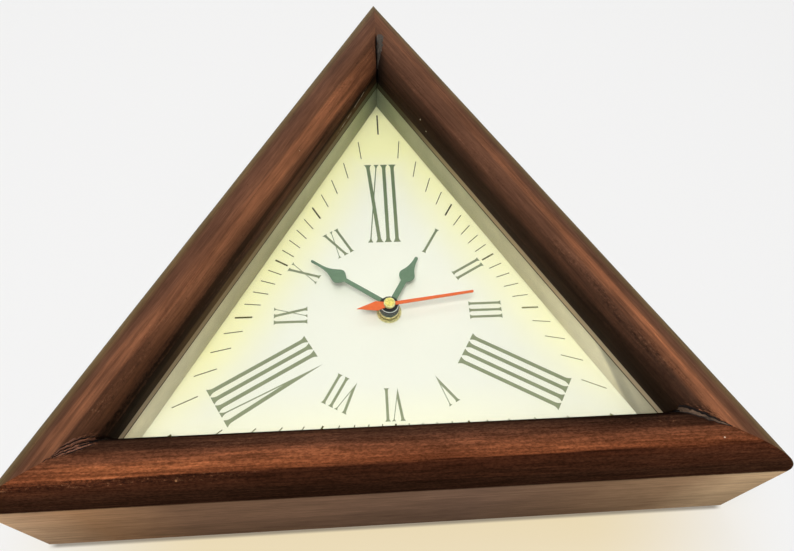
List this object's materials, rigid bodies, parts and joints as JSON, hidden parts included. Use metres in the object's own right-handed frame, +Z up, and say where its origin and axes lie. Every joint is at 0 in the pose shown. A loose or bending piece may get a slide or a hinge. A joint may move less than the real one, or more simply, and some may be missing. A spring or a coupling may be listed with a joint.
{
  "type": "triangular wall clock",
  "caption": "Triangular wall clock: deep mitred wooden case with a rounded front, glazed Roman dial, spade hands and a geared quartz movement behind it.",
  "frame": {"origin": "top of the keyhole slot at the apex of the back, where the shank of the wall screw bears, in the plane of the back", "axes": "+X to the right seen from the front, +Y into the wall, +Z up; the dial faces -Y"},
  "size_m": [0.3808, 0.094, 0.3297],
  "materials": {
    "case_wood": "dark walnut stain under a satin varnish, worn lighter along the crown",
    "raw_wood": "bare softwood",
    "glass": "clear float glass",
    "spacer_card": "matt off-white card",
    "dial_paper": "printed ivory paper",
    "hardboard": "plain hardboard",
    "steel": "zinc plated",
    "brass": "polished",
    "copper_wire": "enamelled copper wire",
    "black_plastic": "moulded black",
    "gear_plastic": "moulded natural acetal",
    "rubber": "black rubber",
    "circuit_green": "green laminate",
    "battery_sleeve": "plain printed sleeve",
    "hand_paint": "dark green-grey enamel",
    "red_paint": "orange-red enamel"
  },
  "bodies": {
    "case": {"rail_bottom": "case_wood", "rail_left": "case_wood", "rail_right": "case_wood", "dowel_top_rear": "raw_wood", "dowel_top_front": "raw_wood", "dowel_right_rear": "raw_wood", "dowel_right_front": "raw_wood", "dowel_left_rear": "raw_wood", "dowel_left_front": "raw_wood", "glass_pane": "glass", "spacer_bottom": "spacer_card", "spacer_left": "spacer_card", "spacer_right": "spacer_card", "dial_sheet": "dial_paper", "dial_board": "hardboard", "cleat_bottom": "raw_wood", "cleat_left": "raw_wood", "cleat_right": "raw_wood", "cleat_screw_bottom_a": "steel", "cleat_screw_bottom_b": "steel", "cleat_screw_left_a": "steel", "cleat_screw_left_b": "steel", "cleat_screw_right_a": "steel", "cleat_screw_right_b": "steel", "keyhole_plate": "steel", "plate_screw_left": "steel", "plate_screw_right": "steel", "movement_case": "black_plastic", "movement_cover": "black_plastic", "train_plate": "gear_plastic", "threaded_bush": "brass", "rubber_washer": "rubber", "brass_washer": "brass", "brass_nut": "brass", "stator": "steel", "coil_core": "steel", "coil_bobbin": "gear_plastic", "coil_winding": "copper_wire", "circuit_board": "circuit_green", "quartz_crystal": "steel", "battery": "battery_sleeve", "negative_contact": "steel", "positive_contact": "steel"},
    "minute_works": {"minute_hand": "hand_paint", "minute_arbor": "brass"},
    "hour_works": {"hour_hand": "hand_paint", "hour_wheel": "gear_plastic"},
    "setting_works": {"minute_wheel": "gear_plastic", "setting_knob": "black_plastic"},
    "second_works": {"second_hand": "red_paint", "hand_cap": "brass", "second_wheel": "gear_plastic"},
    "third_works": {"third_wheel": "gear_plastic"},
    "centre_works": {"centre_wheel": "gear_plastic"},
    "intermediate_works": {"intermediate_wheel": "gear_plastic"},
    "rotor_works": {"rotor": "gear_plastic"}
  },
  "joints": [
    {"name": "minute_turn", "type": "hinge", "parent": "case", "child": "minute_works", "pos_m": [0, -0.05, -0.1832], "axis": [0, 1, 0], "continuous": true},
    {"name": "hour_turn", "type": "hinge", "parent": "case", "child": "hour_works", "pos_m": [0, -0.05, -0.1832], "axis": [0, 1, 0], "continuous": true},
    {"name": "setting_turn", "type": "hinge", "parent": "case", "child": "setting_works", "pos_m": [-0.01026, -0.035, -0.1823], "axis": [0, 1, 0], "continuous": true},
    {"name": "second_turn", "type": "hinge", "parent": "case", "child": "second_works", "pos_m": [0, -0.05, -0.1832], "axis": [0, 1, 0], "continuous": true},
    {"name": "third_turn", "type": "hinge", "parent": "case", "child": "third_works", "pos_m": [-0.00349, -0.035, -0.17362], "axis": [0, 1, 0], "continuous": true},
    {"name": "centre_turn", "type": "hinge", "parent": "case", "child": "centre_works", "pos_m": [0, -0.037, -0.1832], "axis": [0, 1, 0], "continuous": true},
    {"name": "intermediate_turn", "type": "hinge", "parent": "case", "child": "intermediate_works", "pos_m": [0.00748, -0.032, -0.17888], "axis": [0, 1, 0], "continuous": true},
    {"name": "rotor_turn", "type": "hinge", "parent": "case", "child": "rotor_works", "pos_m": [0.0131, -0.032, -0.17264], "axis": [0, 1, 0], "continuous": true}
  ],
  "couplings": [
    {"joint": "hour_turn", "follows": "minute_turn", "ratio": 0.083333},
    {"joint": "setting_turn", "follows": "minute_turn", "ratio": -0.33333},
    {"joint": "third_turn", "follows": "second_turn", "ratio": -0.125},
    {"joint": "centre_turn", "follows": "second_turn", "ratio": 0.016667},
    {"joint": "intermediate_turn", "follows": "second_turn", "ratio": -5},
    {"joint": "rotor_turn", "follows": "second_turn", "ratio": 30}
  ]
}
